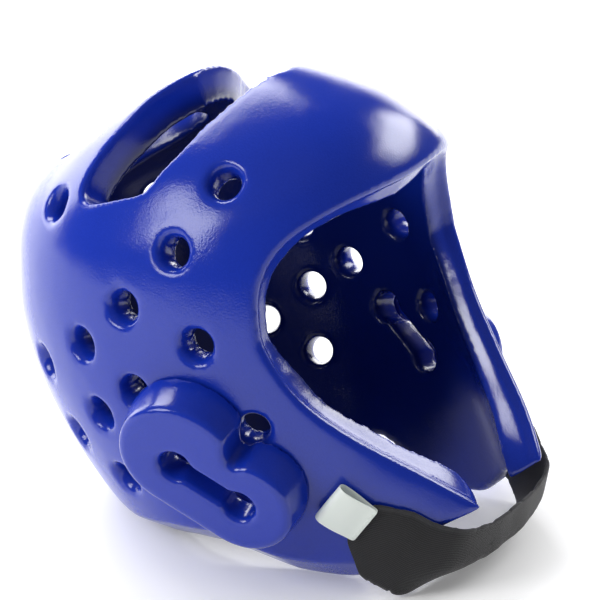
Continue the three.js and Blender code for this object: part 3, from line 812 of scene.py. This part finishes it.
# Camera first: the photograph's angle, found from the helmet's outline.
turn = math.radians(VIEW_TURN)
rise = math.radians(VIEW_RISE)
towards_camera = Vector((-math.sin(turn) * math.cos(rise), -math.cos(turn) * math.cos(rise), math.sin(rise)))
aside = Vector((math.cos(turn), -math.sin(turn), 0))
aim = (Vector((0, SETBACK, HEAD_HEIGHT)) + aside * VIEW_ASIDE) * MM
lens = bpy.data.cameras.new("view")
lens.lens = VIEW_LENS
lens.sensor_width = 36
camera = bpy.data.objects.new("view", lens)
camera.location = aim + towards_camera * VIEW_DISTANCE * MM
camera.rotation_euler = (-towards_camera).to_track_quat("-Z", "Y").to_euler()
bpy.context.scene.collection.objects.link(camera)
bpy.context.scene.camera = camera


def input_of(node, name, value):
    node.inputs[name].default_value = value


def grain_group():
    """Fine pebble of a dipped skin over slow waves, as a normal, with a mask of the pebble."""
    group = bpy.data.node_groups.new("dipped_grain", "ShaderNodeTree")
    group.interface.new_socket("Grain size", in_out="INPUT", socket_type="NodeSocketFloat")
    group.interface.new_socket("Grain depth", in_out="INPUT", socket_type="NodeSocketFloat")
    group.interface.new_socket("Wave depth", in_out="INPUT", socket_type="NodeSocketFloat")
    group.interface.new_socket("Normal", in_out="OUTPUT", socket_type="NodeSocketVector")
    group.interface.new_socket("Pebble", in_out="OUTPUT", socket_type="NodeSocketFloat")
    nodes, links = group.nodes, group.links
    given = nodes.new("NodeGroupInput")
    result = nodes.new("NodeGroupOutput")
    place = nodes.new("ShaderNodeTexCoord")
    pebble = nodes.new("ShaderNodeTexNoise")
    input_of(pebble, "Detail", 2)
    waves = nodes.new("ShaderNodeTexNoise")
    input_of(waves, "Scale", 60)
    input_of(waves, "Detail", 1)
    wave_bump = nodes.new("ShaderNodeBump")
    input_of(wave_bump, "Distance", 0.002)
    grain_bump = nodes.new("ShaderNodeBump")
    input_of(grain_bump, "Distance", 0.0003)
    links.new(place.outputs["Object"], pebble.inputs["Vector"])
    links.new(place.outputs["Object"], waves.inputs["Vector"])
    links.new(given.outputs["Grain size"], pebble.inputs["Scale"])
    links.new(given.outputs["Wave depth"], wave_bump.inputs["Strength"])
    links.new(given.outputs["Grain depth"], grain_bump.inputs["Strength"])
    links.new(waves.outputs["Fac"], wave_bump.inputs["Height"])
    links.new(pebble.outputs["Fac"], grain_bump.inputs["Height"])
    links.new(wave_bump.outputs["Normal"], grain_bump.inputs["Normal"])
    links.new(grain_bump.outputs["Normal"], result.inputs["Normal"])
    links.new(pebble.outputs["Fac"], result.inputs["Pebble"])
    return group


def new_material(name):
    material = bpy.data.materials.new(name)
    material.use_nodes = True
    return material, material.node_tree.nodes, material.node_tree.links


def painted_shade_group():
    """Mask of the painted shade in the hollow, 1 on the inner walls, from an egg midway between the inner
    and the outer form.
    """
    group = bpy.data.node_groups.new("painted_shade_mask", "ShaderNodeTree")
    group.interface.new_socket("Inside", in_out="OUTPUT", socket_type="NodeSocketFloat")
    nodes, links = group.nodes, group.links
    result = nodes.new("NodeGroupOutput")
    place = nodes.new("ShaderNodeTexCoord")
    head = nodes.new("ShaderNodeMapping")
    head.vector_type = "TEXTURE"
    head.inputs["Location"].default_value = (0, SETBACK * MM, HEAD_HEIGHT * MM)
    head.inputs["Rotation"].default_value = (math.radians(LEAN_DEGREES), 0, math.pi)
    head.inputs["Scale"].default_value = [size * MM for size in (
        HALF_WIDTH - SIDE_WALL / 2, FRONT_REACH - BROW_WALL / 2, CROWN_HEIGHT - CROWN_WALL / 2)]
    parts = nodes.new("ShaderNodeSeparateXYZ")
    lowered = nodes.new("ShaderNodeMath")
    lowered.operation = "MULTIPLY"
    lowered.inputs[1].default_value = -JAW_TAPER
    height = nodes.new("ShaderNodeMath")
    height.operation = "MAXIMUM"
    egg = nodes.new("ShaderNodeCombineXYZ")
    reach = nodes.new("ShaderNodeVectorMath")
    reach.operation = "LENGTH"
    mask = nodes.new("ShaderNodeMapRange")
    mask.interpolation_type = "SMOOTHSTEP"
    input_of(mask, "From Min", 1.03)
    input_of(mask, "From Max", 0.93)
    links.new(place.outputs["Object"], head.inputs["Vector"])
    links.new(head.outputs["Vector"], parts.inputs["Vector"])
    links.new(parts.outputs["Z"], lowered.inputs[0])
    links.new(lowered.outputs["Value"], height.inputs[0])
    links.new(parts.outputs["Z"], height.inputs[1])
    links.new(parts.outputs["X"], egg.inputs["X"])
    links.new(parts.outputs["Y"], egg.inputs["Y"])
    links.new(height.outputs["Value"], egg.inputs["Z"])
    links.new(egg.outputs["Vector"], reach.inputs[0])
    links.new(reach.outputs["Value"], mask.inputs["Value"])
    links.new(mask.outputs["Result"], result.inputs["Inside"])
    return group


def vinyl_material(name, colour, grain, painted_shade_mask, grain_depth, wave_depth):
    material, nodes, links = new_material(name)
    hollow = nodes.new("ShaderNodeGroup")
    hollow.node_tree = painted_shade_mask
    # Painted shade: the inner walls get a darker copy of the base colour, standing in for the dim light
    # inside the hollow
    shade = nodes.new("ShaderNodeMix")
    shade.data_type = "RGBA"
    shade.inputs["B"].default_value = (*[c * HOLLOW_PAINTED_SHADE for c in colour], 1)
    links.new(hollow.outputs["Inside"], shade.inputs["Factor"])
    skin = nodes["Principled BSDF"]
    input_of(skin, "Roughness", 0.15)
    input_of(skin, "IOR", 1.5)
    place = nodes.new("ShaderNodeGroup")
    place.node_tree = grain
    input_of(place, "Grain size", GRAIN_SIZE)
    input_of(place, "Grain depth", grain_depth)
    input_of(place, "Wave depth", wave_depth)
    tint = nodes.new("ShaderNodeMix")
    tint.data_type = "RGBA"
    tint.inputs["A"].default_value = (*[c * 0.88 for c in colour], 1)
    tint.inputs["B"].default_value = (*[min(1, c * 1.12) for c in colour], 1)
    links.new(place.outputs["Pebble"], tint.inputs["Factor"])
    links.new(tint.outputs["Result"], shade.inputs["A"])
    links.new(shade.outputs["Result"], skin.inputs["Base Color"])
    links.new(place.outputs["Normal"], skin.inputs["Normal"])
    return material


def elastic_material():
    material, nodes, links = new_material("black_elastic")
    yarn = nodes["Principled BSDF"]
    input_of(yarn, "Roughness", 0.75)
    input_of(yarn, "Sheen Weight", 0.25)
    input_of(yarn, "Sheen Roughness", 0.4)
    along = nodes.new("ShaderNodeUVMap")
    along.uv_map = "weave"
    scale = nodes.new("ShaderNodeMapping")
    scale.inputs["Scale"].default_value = (40, 40, 1)
    ribs = nodes.new("ShaderNodeTexWave")
    ribs.bands_direction = "DIAGONAL"
    input_of(ribs, "Scale", 0.75)
    input_of(ribs, "Distortion", 0.4)
    input_of(ribs, "Detail", 1)
    cross = nodes.new("ShaderNodeTexWave")
    cross.bands_direction = "Y"
    input_of(cross, "Scale", 0.35)
    weave = nodes.new("ShaderNodeMath")
    weave.operation = "MULTIPLY"
    tint = nodes.new("ShaderNodeMix")
    tint.data_type = "RGBA"
    tint.inputs["A"].default_value = (0.004, 0.004, 0.005, 1)
    tint.inputs["B"].default_value = (0.018, 0.018, 0.022, 1)
    bump = nodes.new("ShaderNodeBump")
    input_of(bump, "Strength", 0.6)
    input_of(bump, "Distance", 0.0004)
    split = nodes.new("ShaderNodeSeparateXYZ")
    from_middle = nodes.new("ShaderNodeMath")
    from_middle.operation = "SUBTRACT"
    from_middle.inputs[1].default_value = 0.5
    spread = nodes.new("ShaderNodeMath")
    spread.operation = "ABSOLUTE"
    # A lighter colour in a thin line along both edges of the strap
    edge_line = nodes.new("ShaderNodeMapRange")
    input_of(edge_line, "From Min", 0.44)
    input_of(edge_line, "From Max", 0.47)
    edged = nodes.new("ShaderNodeMix")
    edged.data_type = "RGBA"
    edged.inputs["B"].default_value = (0.03, 0.03, 0.034, 1)
    links.new(along.outputs["UV"], split.inputs["Vector"])
    links.new(split.outputs["Y"], from_middle.inputs[0])
    links.new(from_middle.outputs["Value"], spread.inputs[0])
    links.new(spread.outputs["Value"], edge_line.inputs["Value"])
    links.new(edge_line.outputs["Result"], edged.inputs["Factor"])
    links.new(along.outputs["UV"], scale.inputs["Vector"])
    links.new(scale.outputs["Vector"], ribs.inputs["Vector"])
    links.new(scale.outputs["Vector"], cross.inputs["Vector"])
    links.new(ribs.outputs["Fac"], weave.inputs[0])
    links.new(cross.outputs["Fac"], weave.inputs[1])
    links.new(weave.outputs["Value"], tint.inputs["Factor"])
    links.new(tint.outputs["Result"], edged.inputs["A"])
    links.new(edged.outputs["Result"], yarn.inputs["Base Color"])
    links.new(weave.outputs["Value"], bump.inputs["Height"])
    links.new(bump.outputs["Normal"], yarn.inputs["Normal"])
    return material


def ribbon_material():
    material, nodes, links = new_material("white_satin")
    satin = nodes["Principled BSDF"]
    input_of(satin, "Roughness", 0.45)
    input_of(satin, "Sheen Weight", 0.2)
    satin.inputs["Base Color"].default_value = (0.78, 0.84, 0.79, 1)
    place = nodes.new("ShaderNodeTexCoord")
    weave = nodes.new("ShaderNodeTexNoise")
    input_of(weave, "Scale", 2500)
    bump = nodes.new("ShaderNodeBump")
    input_of(bump, "Strength", 0.3)
    input_of(bump, "Distance", 0.0001)
    links.new(place.outputs["Object"], weave.inputs["Vector"])
    links.new(weave.outputs["Fac"], bump.inputs["Height"])
    links.new(bump.outputs["Normal"], satin.inputs["Normal"])
    return material


def dress(piece, material, node):
    piece.data.materials.clear()
    piece.data.materials.append(material)
    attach(piece, "root")
    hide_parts(node)


grain = grain_group()
painted_shade_mask = painted_shade_group()
shell_vinyl = vinyl_material("blue_vinyl", BLUE, grain, painted_shade_mask, 0.25, 0.12)
pad_vinyl = vinyl_material("pad_vinyl", BLUE, grain, painted_shade_mask, 0.2, 0.06)

shell = make_shell()
dress(shell, shell_vinyl, "shell")

for side, word in ((1, "right"), (-1, "left")):
    pad = make_pad("pad_" + word, side)
    dress(pad, pad_vinyl, "ear_pad_" + word)

strap = make_strap()
dress(strap, elastic_material(), "chin_strap")

label = make_label()
ribbon = ribbon_material()
dress(label, ribbon, "care_label")

stitches = make_stitches()
stitches.data.materials.append(ribbon)
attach(stitches, "root")


def area_light(name, place, target, size, power):
    light = bpy.data.lights.new(name, "AREA")
    light.shape = "RECTANGLE"
    light.size = size[0]
    light.size_y = size[1]
    light.energy = power
    lamp = bpy.data.objects.new(name, light)
    lamp.location = place
    lamp.rotation_euler = (Vector(target) - Vector(place)).to_track_quat("-Z", "Y").to_euler()
    bpy.context.scene.collection.objects.link(lamp)
    return lamp


bm = bmesh.new()
bmesh.ops.create_grid(bm, x_segments=1, y_segments=1, size=8)
mesh = bpy.data.meshes.new("floor")
bm.to_mesh(mesh)
bm.free()
floor = bpy.data.objects.new("floor", mesh)
bpy.context.scene.collection.objects.link(floor)
paper, nodes, links = new_material("white_paper")
nodes["Principled BSDF"].inputs["Base Color"].default_value = (0.9, 0.9, 0.91, 1)
input_of(nodes["Principled BSDF"], "Roughness", 0.6)
input_of(nodes["Principled BSDF"], "Specular IOR Level", 0.2)
nodes["Principled BSDF"].inputs["Emission Color"].default_value = (1, 1, 1, 1)
input_of(nodes["Principled BSDF"], "Emission Strength", 0.2)
floor.data.materials.append(paper)

world = bpy.data.worlds.new("studio")
world.use_nodes = True
world.node_tree.nodes["Background"].inputs["Color"].default_value = (1, 0.99, 0.98, 1)
world.node_tree.nodes["Background"].inputs["Strength"].default_value = 0.12
bpy.context.scene.world = world
bpy.context.scene.view_settings.view_transform = "Standard"

area_light("left_box", (-1.5, 0.8, 1.05), (0, 0, 0.12), (0.9, 0.8), 18)
area_light("back_wall", (0.7, 2.0, 0.6), (0, 0, 0.2), (2.4, 1.1), 40)
area_light("right_wall", (1.9, 0.75, 0.5), (0, 0, 0.2), (1.6, 0.9), 24)
area_light("right_box", (1.46, -0.56, 1.0), (0, 0, 0.1), (1.0, 0.6), 17)
area_light("top_back", (0.9, 1.5, 1.9), (0.5, 0.5, 0), (1.8, 1.0), 46)
fill = area_light("fill", (-0.7, 0.35, 2.1), (0, 0, 0), (2.6, 2.6), 20)
fill.visible_glossy = False
